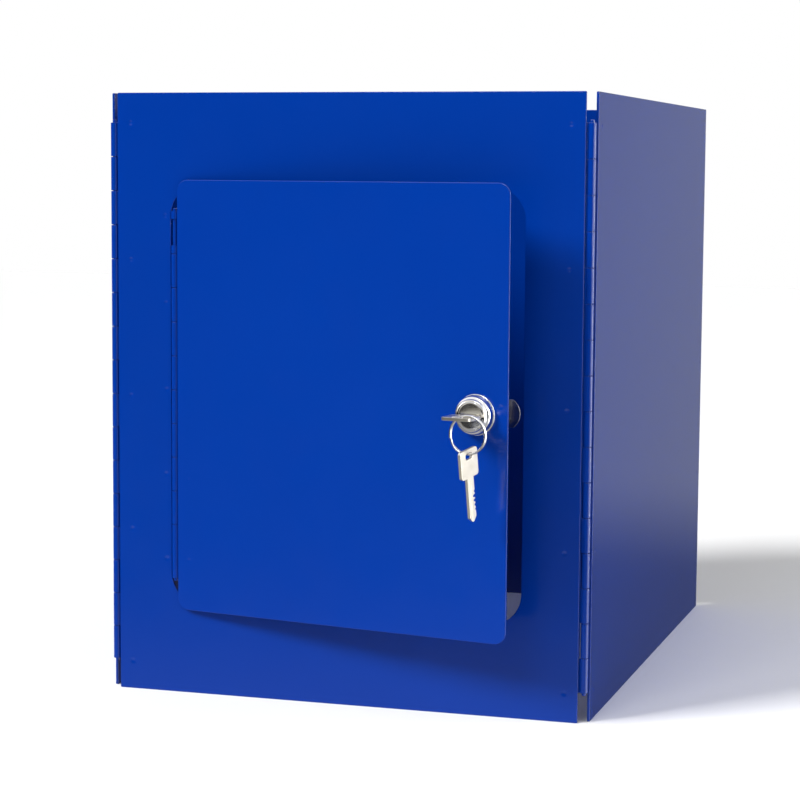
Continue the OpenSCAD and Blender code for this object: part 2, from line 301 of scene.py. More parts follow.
blueCoat = makeMaterial("bluePowderCoat", {"Metallic": 0.0, "IOR": 1.5}, coat)
chromePlate = makeMaterial("chromePlate", {"Metallic": 1.0}, chrome)
satinChrome = makeMaterial("satinChrome", {"Metallic": 1.0}, metal("satin"))
nickelSilver = makeMaterial("nickelSilver", {"Metallic": 1.0}, nickel)
zincPlate = makeMaterial("zincPlate", {"Metallic": 1.0}, zinc)
waferBrass = makeMaterial("waferBrass", {"Metallic": 1.0}, metal("brass"))
springSteel = makeMaterial("springSteel", {"Metallic": 1.0}, metal("spring"))
print("materials made")


# outlines run anticlockwise
def roundRect(cx, cy, width, height, radius, steps):
    points = []
    for sx, sy, start in ((1, 1, 0), (-1, 1, 90), (-1, -1, 180), (1, -1, 270)):
        for i in range(steps + 1):
            turn = math.radians(start + 90 * i / steps)
            x = cx + sx * (width / 2 - radius) + radius * math.cos(turn)
            y = cy + sy * (height / 2 - radius) + radius * math.sin(turn)
            points.append((x, y))
    return points


def circle(cx, cy, radius, steps=24):
    turns = [2 * math.pi * i / steps for i in range(steps)]
    return [(cx + radius * math.cos(t), cy + radius * math.sin(t)) for t in turns]


# an outline moved outwards; the least share keeps its sharp corners from running away
def grown(loop, distance, leastShare=0.3):
    moved = []
    count = len(loop)
    for i in range(count):
        before, here, after = loop[i - 1], loop[i], loop[(i + 1) % count]
        normals = []
        for a, b in ((before, here), (here, after)):
            dx, dy = b[0] - a[0], b[1] - a[1]
            size = math.hypot(dx, dy)
            normals.append((dy / size, -dx / size))
        (ax, ay), (bx, by) = normals
        share = distance / max(1 + ax * bx + ay * by, leastShare)
        moved.append((here[0] + (ax + bx) * share, here[1] + (ay + by) * share))
    return moved


class Shape:
    def __init__(self):
        self.points = []
        self.edges = []
        self.faces = []

    def row(self, loop, height):
        start = len(self.points)
        self.points += [(x, y, height) for x, y in loop]
        return start

    def band(self, first, second, count, flip=False):
        for i in range(count):
            j = (i + 1) % count
            quad = (first + i, second + i, second + j, first + j)
            self.faces.append(quad[::-1] if flip else quad)

    # fills flat between loops, given as (start, count); facing is 1 up the Z axis or -1 down it
    def fill(self, loops, facing):
        index = [start + i for start, count in loops for i in range(count)]
        polygons = [[Vector(self.points[start + i]) for i in range(count)] for start, count in loops]
        for poly in polygons:
            for p in poly:
                p.z = 0
        for triple in tessellate_polygon(polygons):
            a, b, c = (index[i] for i in triple)
            (ax, ay, _), (bx, by, _), (cx, cy, _) = (self.points[i] for i in (a, b, c))
            area = (bx - ax) * (cy - ay) - (cx - ax) * (by - ay)
            self.faces.append((a, b, c) if area * facing > 0 else (a, c, b))

    def add(self, other, place=None):
        start = len(self.points)
        for p in other.points:
            self.points.append(tuple(place @ Vector(p)) if place else p)
        self.faces += [tuple(start + i for i in face) for face in other.faces]
        return self


# a flat sheet with rounded edges: its outer face on Z = 0, its inner face below it
# a pocket in the outer face is (loop, [(inset, height), ...])
def sheet(outer, holes, thick, soft, pockets, steps):
    shape = Shape()
    caps = {1: [], -1: []}
    for loop, widen in [(outer, -1)] + [(hole, 1) for hole in holes]:
        rows = []
        for facing in (1, -1):
            level = 0 if facing > 0 else -thick
            order = range(steps + 1) if facing > 0 else range(steps, -1, -1)
            for k in order:
                turn = math.pi / 2 * k / steps
                inset = soft * (1 - math.sin(turn))
                height = level - facing * soft * (1 - math.cos(turn))
                rows.append(shape.row(grown(loop, widen * inset), height))
        for first, second in zip(rows, rows[1:]):
            shape.band(first, second, len(loop), flip=widen > 0)
        caps[1].append((rows[0], len(loop)))
        caps[-1].append((rows[-1], len(loop)))
    for loop, levels in pockets:
        last = shape.row(loop, 0)
        caps[1].append((last, len(loop)))
        for inset, height in levels:
            following = shape.row(grown(loop, -inset), height)
            shape.band(last, following, len(loop), flip=True)
            last = following
        shape.fill([(last, len(loop))], 1)
    for facing in (1, -1):
        shape.fill(caps[facing], facing)
    return shape


# a shallow round dent, as a pocket
def dent(x, y, radius, depth, rings=6):
    levels = []
    for i in range(1, rings):
        share = 1 - i / rings
        levels.append((radius * (1 - share), -depth * math.cos(math.pi / 2 * share) ** 2))
    return circle(x, y, radius), levels


# a solid turned about Z from a closed outline of (radius, height), up the outside and down the bore
def turned(outline, steps):
    shape = Shape()
    rows = []
    for radius, height in outline:
        if radius == 0:
            shape.points.append((0, 0, height))
            rows.append((len(shape.points) - 1, True))
        else:
            rows.append((shape.row(circle(0, 0, radius, steps), height), False))
    for (first, firstPole), (second, secondPole) in zip(rows, rows[1:] + rows[:1]):
        if firstPole and secondPole:
            continue
        for i in range(steps):
            j = (i + 1) % steps
            if firstPole:
                face = (first, second + j, second + i)
            elif secondPole:
                face = (first + i, first + j, second)
            else:
                face = (first + i, first + j, second + j, second + i)
            shape.faces.append(face)
    return shape


# area-weighted normals keep the flats flat beside their rounded edges
def smoothMesh(mesh):
    normals = [Vector() for _ in mesh.vertices]
    for polygon in mesh.polygons:
        polygon.use_smooth = True
        weighted = polygon.normal * polygon.area
        for i in polygon.vertices:
            normals[i] += weighted
    mesh.normals_split_custom_set_from_vertices([n.normalized() for n in normals])


def meshOf(shape, name, place=None):
    mesh = bpy.data.meshes.new(name)
    points = [place @ Vector(p) for p in shape.points] if place else shape.points
    mesh.from_pydata(points, shape.edges, shape.faces)
    mesh.update()
    return mesh


def addPiece(name, mesh, material, body, slot, *nodes):
    mesh.name = name
    mesh.validate()
    mesh.materials.clear()
    mesh.materials.append(material)
    smoothMesh(mesh)
    piece = bpy.data.objects.new(name, mesh)
    scene.collection.objects.link(piece)
    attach(piece, body)
    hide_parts(*nodes)


# runs a geometry tree on a seed mesh and gives the plain mesh that comes out
def grownMesh(shape, group, values):
    seed = bpy.data.objects.new("seed", meshOf(shape, "seed"))
    scene.collection.objects.link(seed)
    modifier = seed.modifiers.new("grow", "NODES")
    modifier.node_group = group
    for item in group.interface.items_tree:
        if item.name in values:
            modifier[item.identifier] = values[item.name]
    graph = bpy.context.evaluated_depsgraph_get()
    mesh = bpy.data.meshes.new_from_object(seed.evaluated_get(graph))
    bpy.data.objects.remove(seed)
    return mesh


def shapeOf(mesh):
    shape = Shape()
    shape.points = [tuple(v.co) for v in mesh.vertices]
    shape.faces = [tuple(p.vertices) for p in mesh.polygons]
    return shape


def openTree(name, inputs):
    group = bpy.data.node_groups.new(name, "GeometryNodeTree")
    face = group.interface
    face.new_socket("Geometry", in_out="INPUT", socket_type="NodeSocketGeometry")
    for label, kind, value in inputs:
        socket = face.new_socket(label, in_out="INPUT", socket_type=kind)
        if value is not None:
            socket.default_value = value
    face.new_socket("Geometry", in_out="OUTPUT", socket_type="NodeSocketGeometry")
    tree = Tree(group)
    given = tree.add("NodeGroupInput")
    wires = {socket.name: Wire(group, socket) for socket in given.outputs if socket.name}
    return group, tree, wires


def closeTree(tree, geometry, material):
    real = tree.wire("GeometryNodeRealizeInstances", None, {0: geometry})
    painted = tree.wire("GeometryNodeSetMaterial", None, {"Geometry": real, "Material": material})
    tree.add("NodeGroupOutput", None, {0: painted})


# a row of knuckles, counted down from the top of the hinge, with one part knuckle first
def knuckleTree():
    length = "NodeSocketFloat"
    group, tree, given = openTree("knuckleRow", [
        ("Hinge Length", length, 0.4), ("First", length, 0.0254), ("Pitch", length, 0.0254),
        ("Gap", length, 0.0004), ("Parity", "NodeSocketInt", 0), ("Material", "NodeSocketMaterial", None)])
    rest = given["Hinge Length"] - given["First"]
    count = rest.math("CEIL", rest / given["Pitch"] - 0.0001) + 1
    line = tree.wire("GeometryNodeMeshLine", None, {"Count": count})
    index = tree.wire("GeometryNodeInputIndex")
    isFirst = index < 0.5
    top = isFirst * given["Hinge Length"] + (1 - isFirst) * (rest - (index - 1) * given["Pitch"])
    low = (rest - index * given["Pitch"]).highest(0.0)
    height = top - low - given["Gap"]
    place = tree.wire("ShaderNodeCombineXYZ", None, {2: low + given["Gap"] * 0.5})
    spots = tree.wire("GeometryNodeSetPosition", None, {"Geometry": line, "Position": place})
    parity = index % 2
    own = parity.math("COMPARE", parity, given["Parity"], 0.1)
    spots = tree.wire("GeometryNodeDeleteGeometry", {"domain": "POINT"},
                      {"Geometry": spots, "Selection": (1 - own).highest(height < given["Gap"])})
    stretch = height / (given["Pitch"] - given["Gap"])
    scale = tree.wire("ShaderNodeCombineXYZ", None, {0: 1.0, 1: 1.0, 2: stretch})
    row = tree.wire("GeometryNodeInstanceOnPoints", None,
                    {"Points": spots, "Instance": given["Geometry"], "Scale": scale})
    closeTree(tree, row, given["Material"])
    return group


knuckleRow = knuckleTree()
hinge = {
    "pitch": 25.4 * mm,
    "gap": 0.4 * mm,
    "barrel": 2.9 * mm,        # outer radius of the rolled knuckles
    "leaf": 1.3 * mm,          # thickness of the strip
    "leafStart": 3.4 * mm,     # from the axis to the leaf's straight edge
    "overlap": 0.02 * mm,      # of the leaf on its knuckles
    "seam": 0.3 * mm,          # gap where the strip's rolled end meets the leaf
    "soft": 0.32 * mm,         # rounding of a knuckle's ends
    "leafSoft": 0.25 * mm,
    "leafCorner": 0.5 * mm,
    "cornerNear": 0.3 * mm,    # from the axis to a leaf's nearer face, at the box's corners
    "frameNear": 1.4 * mm,     # the same at the door, on the front panel
    "doorNear": -0.5 * mm,     # and on the door itself
    "doorFirst": 6.2 * mm,     # height of the door hinge's top knuckle
    "weldRadius": 2.4 * mm,
    "weldDepth": 0.16 * mm,
    "weldFromEnd": 4 * mm,     # no weld lies nearer to a leaf's end
    "arcSteps": 36,
    "arcLimit": 0.98,          # keeps the arcs open where a leaf passes outside them
}
doorWelds = [102 * mm, 166 * mm, 230 * mm, 294 * mm, 359 * mm]


# one rolled knuckle of full length: the strip comes in along X, wraps the pin and ends at a seam
def rolledKnuckle(near, side):
    def outline(inset):
        big, small = hinge["barrel"] - inset, hinge["barrel"] - hinge["leaf"] + inset
        low, high = -near - hinge["leaf"] + inset, -near - inset
        limit, steps = hinge["arcLimit"], hinge["arcSteps"]
        start = math.asin(max(low / big, -limit))
        inner = math.asin(max(min(high / small, limit), -limit))
        end = max(math.asin((-near + hinge["seam"]) / big), inner + hinge["seam"] / small)
        wrap = 2 * math.pi - (end - start)
        loop = [(hinge["leafStart"], high)]
        loop += [(small * math.cos(t), small * math.sin(t))
                 for t in [inner - (2 * math.pi - (end - inner)) * i / steps for i in range(steps + 1)]]
        loop += [(big * math.cos(t), big * math.sin(t))
                 for t in [end - 2 * math.pi + wrap * i / steps for i in range(steps + 1)]]
        loop.append((hinge["leafStart"], low))
        if side > 0:
            loop = [(x, -y) for x, y in loop]
        turning = sum(ax * by - bx * ay for (ax, ay), (bx, by) in zip(loop, loop[1:] + loop[:1]))
        return loop if turning > 0 else loop[::-1]
    shape = Shape()
    length = hinge["pitch"] - hinge["gap"]
    soft, knee = hinge["soft"], hinge["soft"] * 0.3
    levels = [(soft, 0), (knee, knee), (0, soft), (0, length - soft), (knee, length - knee), (soft, length)]
    rows = [shape.row(outline(inset), height) for inset, height in levels]
    count = len(outline(0))
    for first, second in zip(rows, rows[1:]):
        shape.band(second, first, count)
    shape.fill([(rows[0], count)], -1)
    shape.fill([(rows[-1], count)], 1)
    return shape


# one leaf with its knuckles, its axis on Z; side -1 puts the leaf on the -Y side of the axis
def makeLeaf(name, body, place, near, side, first, parity, welds):
    _, high = spanIn(name, place)
    length, reach = high.z, high.x
    row = grownMesh(rolledKnuckle(near, side), knuckleRow, {
        "Hinge Length": length, "First": first, "Pitch": hinge["pitch"], "Gap": hinge["gap"],
        "Parity": parity, "Material": blueCoat})
    start = hinge["leafStart"] - hinge["overlap"]
    outline = roundRect((start + reach) / 2, length / 2, reach - start, length, hinge["leafCorner"], 3)
    spare = hinge["weldFromEnd"]
    marks = [dent(reach / 2, z, hinge["weldRadius"], hinge["weldDepth"], 5)
             for z in welds if spare < z < length - spare]
    plate = sheet(outline, (), hinge["leaf"], hinge["leafSoft"], marks, 2)
    # the plate is laid in XZ with its marked face towards the axis, which mirrors it on the -Y side
    turn = Matrix(((1, 0, 0, 0), (0, 0, -side, side * near), (0, 1, 0, 0), (0, 0, 0, 1)))
    if side < 0:
        plate.faces = [face[::-1] for face in plate.faces]
    leaf = shapeOf(row).add(plate, turn)
    addPiece(name + "Rolled", meshOf(leaf, name, place), blueCoat, body, "painted_hinge", name)


# a place with its origin on a hinge's axis at its lower end, X along the leaf and Z up
def leafPlace(x, y, node, angle):
    place = Matrix.Rotation(math.radians(angle), 4, "Z")
    place.translation = Vector((x, y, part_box(node)[0].z))
    return place


panel = {
    "soft": 0.45 * mm,        # rounding of the cut edges under the paint
    "corner": 0.8 * mm,
    "weldRadius": 2.6 * mm,
    "weldDepth": 0.3 * mm,
    "faintWeld": 0.8,         # share of that depth at the sides, the back and the door's hinge
    "weldIn": 10.6 * mm,      # from the panel's edge to the row of welds
    "weldFirst": 22 * mm,
    "weldPitch": 101.25 * mm,
    "weldCount": 5,
    "doorWeldIn": 7.1 * mm,   # from the door hinge's axis to the frame's row
}
rand = random.Random(7)


def weldHeights():
    return [panel["weldFirst"] + panel["weldPitch"] * i for i in range(panel["weldCount"])]


# an upright row of welds with slight scatter
def weldRow(x, heights, depth=1.0):
    marks = []
    for height in heights:
        dx, dy = rand.uniform(-0.5, 0.5) * mm, rand.uniform(-0.8, 0.8) * mm
        radius = panel["weldRadius"] * rand.uniform(0.9, 1.08)
        deep = panel["weldDepth"] * depth * rand.uniform(0.85, 1.1)
        marks.append(dent(x + dx, height + dy, radius, deep))
    return marks


# one coated sheet; its marks come from a function of its width
def makePanel(node, outward, body, holes, marks):
    low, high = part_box(node)
    size, out = high - low, Vector(outward)
    thick = abs(size.dot(out))
    face = (low + high) / 2 + out * thick / 2
    place = facePlace((face.x, face.y, low.z), outward)
    width = size.x if abs(out.y) > 0.5 else size.y
    outline = roundRect(0, size.z / 2, width, size.z, panel["corner"], 4)
    shape = sheet(outline, holes, thick, panel["soft"], marks(width), 4)
    addPiece(node + "Coated", meshOf(shape, node, place), blueCoat, body, "painted_steel", node)


opening = {"width": 271 * mm, "height": 314 * mm, "low": 68 * mm, "radius": 23 * mm}
fixing = {"radius": 3.2 * mm, "fromEnd": 22 * mm}


def openingLoop():
    middle = opening["low"] + opening["height"] / 2
    return roundRect(0, middle, opening["width"], opening["height"], opening["radius"], 16)


def fixingLoops():
    low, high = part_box("back_panel")
    heights = (fixing["fromEnd"], high.z - low.z - fixing["fromEnd"])
    return [circle(0, z, fixing["radius"], 32) for z in heights]


def edgeMarks(width, depth=panel["faintWeld"]):
    marks = weldRow(-width / 2 + panel["weldIn"], weldHeights(), depth)
    return marks + weldRow(width / 2 - panel["weldIn"], weldHeights(), depth)


def frontMarks(width):
    doorRow = joints["door_hinge"]["pos_m"][0] - panel["doorWeldIn"]
    return edgeMarks(width, 1.0) + weldRow(doorRow, doorWelds, panel["faintWeld"])


makePanel("front_panel", (0, -1, 0), "front", [openingLoop()], frontMarks)
makePanel("back_panel", (0, 1, 0), "back", fixingLoops(), edgeMarks)
makePanel("left_panel", (-1, 0, 0), "left_side", (), edgeMarks)
makePanel("right_panel", (1, 0, 0), "right_side", (), edgeMarks)
print("panels made")


lockPlace = facePlace(joints["plug_turn"]["pos_m"], [-a for a in joints["plug_turn"]["axis"]])
lock = {
    "headRadius": 14.0 * mm,
    "rimRadius": 11.4 * mm,
    "headOut": 10.0 * mm,
    "trimThick": 0.8 * mm,
    "barrel": 9.5 * mm,
    "flat": 8.0 * mm,
    "thread": 1.0 * mm,
    "threadDepth": 0.5 * mm,
    "discRadius": 8.7 * mm,
    "discBack": 5.8 * mm,
    "plugBore": 6.5 * mm,
}


door = {
    "corner": 9 * mm,
    "holeClear": 0.15 * mm,             # round the lock's barrel
    "weldIn": 10 * mm,                  # from the door's hinged edge
    "weldRadius": 2.3 * mm,
    "weldDepth": 0.1 * mm,
    "welds": (-123, -62, 0, 62, 123),   # mm from the door's middle
    # x and y from the lock, radius and depth, all in mm
    "dents": ((18.8, 6.4, 2.2, 0.22), (19.6, -25.5, 2.4, 0.2)),
}


def makeDoor():
    low, high = spanIn("door_panel", lockPlace)
    width, height = high.x - low.x, high.y - low.y
    cx, cy = (low.x + high.x) / 2, (low.y + high.y) / 2
    outline = roundRect(cx, cy, width, height, door["corner"], 10)
    reach, flat = lock["barrel"] + door["holeClear"], lock["flat"] + door["holeClear"]
    hole = [(max(-flat, min(flat, x)), y) for x, y in circle(0, 0, reach, 64)]
    marks = [dent(*(value * mm for value in values)) for values in door["dents"]]
    for y in door["welds"]:
        marks.append(dent(low.x + door["weldIn"], cy + y * mm, door["weldRadius"], door["weldDepth"]))
    shape = sheet(outline, [hole], high.z - low.z, panel["soft"], marks, 4)
    addPiece("doorCoated", meshOf(shape, "door", lockPlace), blueCoat, "door", "painted_steel", "door_panel")


makeDoor()


def makeHinges():
    left, right = joints["fold"]["pos_m"][0], joints["right_hinge"]["pos_m"][0]
    back, front = joints["fold"]["pos_m"][1], joints["front_hinge"]["pos_m"][1]
    # name, body, x, y, direction of the leaf, side, parity
    rows = [
        ("front_left_front_leaf", "front", left, front, 0, -1, 0),
        ("front_left_side_leaf", "left_side", left, front, 90, 1, 1),
        ("front_right_front_leaf", "front", right, front, 180, 1, 1),
        ("front_right_side_leaf", "right_side", right, front, 90, -1, 0),
        ("back_left_back_leaf", "back", left, back, 0, 1, 0),
        ("back_left_side_leaf", "left_side", left, back, -90, -1, 1),
        ("back_right_back_leaf", "back", right, back, 180, -1, 1),
        ("back_right_side_leaf", "right_side", right, back, -90, 1, 0),
    ]
    for name, body, x, y, angle, side, parity in rows:
        place = leafPlace(x, y, name, angle)
        welds = [z - place.translation.z for z in weldHeights()]
        makeLeaf(name, body, place, hinge["cornerNear"], side, hinge["pitch"], parity, welds)
    x, y, _ = joints["door_hinge"]["pos_m"]
    doorAngle = math.degrees(math.atan2(lockPlace[1][0], lockPlace[0][0]))
    for name, body, angle, near, parity in (
            ("door_frame_leaf", "front", 180, hinge["frameNear"], 0),
            ("door_leaf", "door", doorAngle, hinge["doorNear"], 1)):
        place = leafPlace(x, y, name, angle)
        welds = [z - place.translation.z for z in doorWelds]
        makeLeaf(name, body, place, near, -1, hinge["doorFirst"], parity, welds)


makeHinges()


# the rounding, its knee and the flat of the end are shares; the crown is a height
pin = {"soft": 0.3, "knee": 0.4, "flat": 0.55, "crown": 0.05 * mm}


def makePins():
    bodies = {"front_left_pin": "front", "front_right_pin": "front", "back_left_pin": "back",
              "back_right_pin": "back", "door_pin": "front"}
    for name, body in bodies.items():
        low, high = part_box(name)
        radius, length = (high.x - low.x) / 2, high.z - low.z
        soft = radius * pin["soft"]
        knee = soft * pin["knee"]
        end = [(0, 0), (radius * pin["flat"], pin["crown"]), (radius - knee, knee), (radius, soft)]
        outline = end + [(r, length - z) for r, z in reversed(end)]
        place = Matrix.Translation(((low.x + high.x) / 2, (low.y + high.y) / 2, low.z))
        mesh = meshOf(turned(outline, 32), name, place)
        addPiece(name + "Wire", mesh, blueCoat, body, "painted_hinge", name)


makePins()
print("hinges made")


# lock: a stepped chrome head on a threaded tube with two flats
def threadTree():
    length = "NodeSocketFloat"
    group, tree, given = openTree("threadedBarrel", [
        ("Radius", length, 0.0095), ("Depth", length, 0.0005), ("Pitch", length, 0.001),
        ("Flat", length, 0.008), ("Top", length, 0.0), ("Material", "NodeSocketMaterial", None)])
    place = tree.wire("GeometryNodeInputPosition")
    parts = tree.add("ShaderNodeSeparateXYZ", None, {0: place})
    x, y, z = (Wire(group, socket) for socket in parts.outputs)
    turn = x.math("ARCTAN2", y, x) / (2 * math.pi)
    reach = (x * x + y * y) ** 0.5
    phase = (z / given["Pitch"] - turn) % 1.0
    ridge = (phase * 2 - 1).math("ABSOLUTE", phase * 2 - 1)
    radius = given["Radius"] - given["Depth"] * (1 - (ridge * 1.5 - 0.25).clamped())
    onBarrel = (reach > given["Radius"] * 0.9) * (z < given["Top"])
    share = radius / reach
    cutX = (x * share).highest(given["Flat"] * -1).lowest(given["Flat"])
    newX = x + onBarrel * (cutX - x)
    newY = y + onBarrel * (y * share - y)
    moved = tree.wire("ShaderNodeCombineXYZ", None, {0: newX, 1: newY, 2: z})
    barrel = tree.wire("GeometryNodeSetPosition", None, {"Geometry": given["Geometry"], "Position": moved})
    closeTree(tree, barrel, given["Material"])
    return group


# quarter of a rounded edge as (radius, height) points, from one angle to another
def corner(radius, height, soft, start, end, steps=4):
    turns = [math.radians(start + (end - start) * i / steps) for i in range(steps + 1)]
    return [(radius + soft * math.cos(t), height + soft * math.sin(t)) for t in turns]


head = {
    "threadEnd": 0.8 * mm,      # bevel at the thread's inner end
    "threadStop": 0.05 * mm,    # the thread ends this far below the head
    "threadLevels": 6,          # rings of points in one turn of the thread
    "foot": 0.3 * mm,
    "wall": 1.2 * mm,
    "domeIn": 1.4 * mm,
    "domeUp": 5.0 * mm,
    "domeSteps": 8,
    "ledgeIn": 1.9 * mm,
    "ledgeUp": 6.5 * mm,
    "neckOut": 0.4 * mm,
    "neckUp": 6.8 * mm,
    "rimUp": 7.2 * mm,
    "rimSoft": 0.6 * mm,
    # mm in from the rim and down from its face
    "groove": ((0.9, 0.1), (1.15, 0.3), (1.4, 0.3), (1.65, 0.1)),
    "mouthSoft": 0.45 * mm,
    "boreClear": 0.05 * mm,
}


def makeHead():
    low, _ = spanIn("lock_housing", lockPlace)
    r, rim, out, base = lock["headRadius"], lock["rimRadius"], lock["headOut"], lock["trimThick"]
    bore, inner, barrel = lock["discRadius"] + head["boreClear"], lock["plugBore"], lock["barrel"]
    rings = round((base - low.z) / lock["thread"] * head["threadLevels"])
    outline = [(inner, low.z), (barrel - head["threadEnd"], low.z)]
    outline += [(barrel, low.z + (base - low.z) * i / rings) for i in range(rings + 1)]
    outline += [(r - head["foot"], base), (r, base + head["foot"]), (r, base + head["wall"])]
    for i in range(1, head["domeSteps"] + 1):
        turn = math.pi / 2 * i / head["domeSteps"]
        x, z = head["domeIn"] * (1 - math.cos(turn)), head["domeUp"] * math.sin(turn)
        outline.append((r - x, base + head["wall"] + z))
    outline.append((r - head["ledgeIn"], base + head["ledgeUp"]))
    outline += [(rim + head["neckOut"], base + head["neckUp"]), (rim, base + head["rimUp"])]
    soft, mouth = head["rimSoft"], head["mouthSoft"]
    outline += corner(rim - soft, out - soft, soft, 0, 90, 6)
    outline += [(rim - x * mm, out - z * mm) for x, z in head["groove"]]
    outline += corner(bore + mouth, out - mouth, mouth, 90, 180)
    outline += [(bore, lock["discBack"]), (inner, lock["discBack"])]
    mesh = grownMesh(turned(outline, 128), threadTree(), {
        "Radius": barrel, "Depth": lock["threadDepth"], "Pitch": lock["thread"],
        "Flat": lock["flat"], "Top": base - head["threadStop"], "Material": chromePlate})
    mesh.transform(lockPlace)
    addPiece("lockHead", mesh, chromePlate, "door", "lock_chrome", "lock_housing")


trim = {"clear": 0.15 * mm, "soft": 0.65}    # the rounding is a share of the thickness


def makeTrim():
    _, high = spanIn("lock_trim_ring", lockPlace)
    r, t, bore = high.x, high.z, lock["barrel"] + trim["clear"]
    soft = t * trim["soft"]
    outline = [(bore, 0), (r, 0), (r, t - soft)]
    outline += corner(r - soft, t - soft, soft, 0, 90) + [(bore, t)]
    mesh = meshOf(turned(outline, 128), "lockTrim", lockPlace)
    addPiece("lockTrim", mesh, chromePlate, "door", "lock_chrome", "lock_trim_ring")


nut = {
    "clear": 0.1 * mm,
    "faceIn": 0.3 * mm,     # from the flats to the turned face
    "drop": 0.12 * mm,      # of the face's edge at the flats
    "slope": 0.55,          # of the turned corners
    "lip": 0.4 * mm,        # bevel of the bore
    "steps": 96,
}


# a six-sided nut with its corners turned off
def makeNut():
    low, high = spanIn("lock_nut", lockPlace)
    wide, tall = high.x - low.x, high.y - low.y
    flatTurn = 0 if tall < wide else 30
    half, bore, steps = min(wide, tall) / 2, lock["barrel"] + nut["clear"], nut["steps"]
    shape = Shape()
    turns = [2 * math.pi * i / steps for i in range(steps)]
    reaches = []
    for turn in turns:
        away = (math.degrees(turn) - flatTurn) % 60
        away = min(away, 60 - away)
        reaches.append(half / math.cos(math.radians(30 - away)))
    rows = []
    for end in (1, -1):
        face = high.z if end > 0 else low.z
        top = shape.row(circle(0, 0, half - nut["faceIn"], steps), face)
        edge = len(shape.points)
        for turn, reach in zip(turns, reaches):
            drop = nut["drop"] + (reach - half) * nut["slope"]
            shape.points.append((math.cos(turn) * reach, math.sin(turn) * reach, face - end * drop))
        inner = shape.row(circle(0, 0, bore + nut["lip"], steps), face)
        lip = shape.row(circle(0, 0, bore, steps), face - end * nut["lip"])
        rows.append((top, edge, inner, lip))
    (topA, edgeA, innerA, lipA), (topB, edgeB, innerB, lipB) = rows
    order = [lipA, innerA, topA, edgeA, edgeB, topB, innerB, lipB, lipA]
    for first, second in zip(order, order[1:]):
        shape.band(first, second, steps)
    addPiece("lockNutCut", meshOf(shape, "lockNut", lockPlace), zincPlate, "door", "cam_zinc", "lock_nut")


makeHead()
makeTrim()
makeNut()


softening = {"join": 1e-6, "flatAngle": 0.4, "edgeAngle": 35, "segments": 2}


# copies a CAD node's surface, joins its loose triangles and rounds its sharp edges a little
def softened(node, width):
    source = frame["nodes"][node]
    piece = bpy.data.objects.new("seed", source.data.copy())
    scene.collection.objects.link(piece)
    weld = piece.modifiers.new("weld", "WELD")
    weld.merge_threshold = softening["join"]
    flat = piece.modifiers.new("flat", "DECIMATE")
    flat.decimate_type = "DISSOLVE"
    flat.angle_limit = math.radians(softening["flatAngle"])
    bevel = piece.modifiers.new("soft", "BEVEL")
    bevel.width = width
    bevel.segments = softening["segments"]
    bevel.limit_method = "ANGLE"
    bevel.angle_limit = math.radians(softening["edgeAngle"])
    bevel.use_clamp_overlap = True
    graph = bpy.context.evaluated_depsgraph_get()
    mesh = bpy.data.meshes.new_from_object(piece.evaluated_get(graph))
    bpy.data.objects.remove(piece)
    return mesh


softParts = [
    ("lock_plug", "plugTurned", satinChrome, "plug", "lock_chrome", 0.2),
    ("lock_cam", "camPressed", zincPlate, "plug", "cam_zinc", 0.3),
    ("cam_washer", "washerPressed", zincPlate, "plug", "cam_zinc", 0.1),
    ("cam_screw", "screwTurned", zincPlate, "plug", "cam_zinc", 0.15),
    ("key", "keyCut", nickelSilver, "key", "key_nickel", 0.22),
    ("spare_key", "spareKeyCut", nickelSilver, "spare", "key_nickel", 0.22),
]
for node, name, material, body, slotName, width in softParts:
    addPiece(name, softened(node, width * mm), material, body, slotName, node)
waferMaterials = frame["nodes"]["lock_wafers"].data.materials
waferMaterials.clear()
waferMaterials.append(waferBrass)
print("lock and keys made")


# split ring: two turns of wire side by side, stepping across once
ring = {
    "wire": 0.75 * mm,       # radius
    "turns": 1.93,
    "stepAt": 205,           # degrees round the ring, where the wire steps across
    "stepOver": 40,          # and how many degrees it takes either way
    "steps": 96,
    "sides": 14,
    "join": 0.000001,
}


def wireTree():
    group, tree, given = openTree("wireAlongPath", [
        ("Radius", "NodeSocketFloat", ring["wire"]), ("Sides", "NodeSocketInt", ring["sides"]),
        ("Material", "NodeSocketMaterial", None)])
    path = tree.wire("GeometryNodeMeshToCurve", None, {0: given["Geometry"]})
    section = tree.wire("GeometryNodeCurvePrimitiveCircle", None,
                        {"Resolution": given["Sides"], "Radius": given["Radius"]})
    tube = tree.wire("GeometryNodeCurveToMesh", None,
                     {"Curve": path, "Profile Curve": section, "Fill Caps": True})
    joined = tree.wire("GeometryNodeMergeByDistance", None, {"Geometry": tube, "Distance": ring["join"]})
    closeTree(tree, joined, given["Material"])
    return group


def makeRing():
    place = facePlace(joints["ring_turn"]["pos_m"], [-a for a in joints["ring_turn"]["axis"]])
    _, high = spanIn("key_ring", place)
    middle = high.x - ring["wire"]
    count = round(ring["turns"] * ring["steps"])
    spare = 180 * (ring["turns"] - 1)
    path = Shape()
    for i in range(count + 1):
        turn = ring["turns"] * 360 * i / count
        along = max(-1, min(1, (turn - spare - 180) / ring["stepOver"]))
        across = ring["wire"] * (1.5 * along - 0.5 * along ** 3)
        angle = math.radians(turn + ring["stepAt"] - 180 - spare)
        path.points.append(place @ Vector((middle * math.cos(angle), middle * math.sin(angle), across)))
    path.edges = [(i, i + 1) for i in range(count)]
    values = {"Radius": ring["wire"], "Sides": ring["sides"], "Material": springSteel}
    mesh = grownMesh(path, wireTree(), values)
    addPiece("splitRing", mesh, springSteel, "ring", "ring_steel", "key_ring")


makeRing()
print("key ring made")


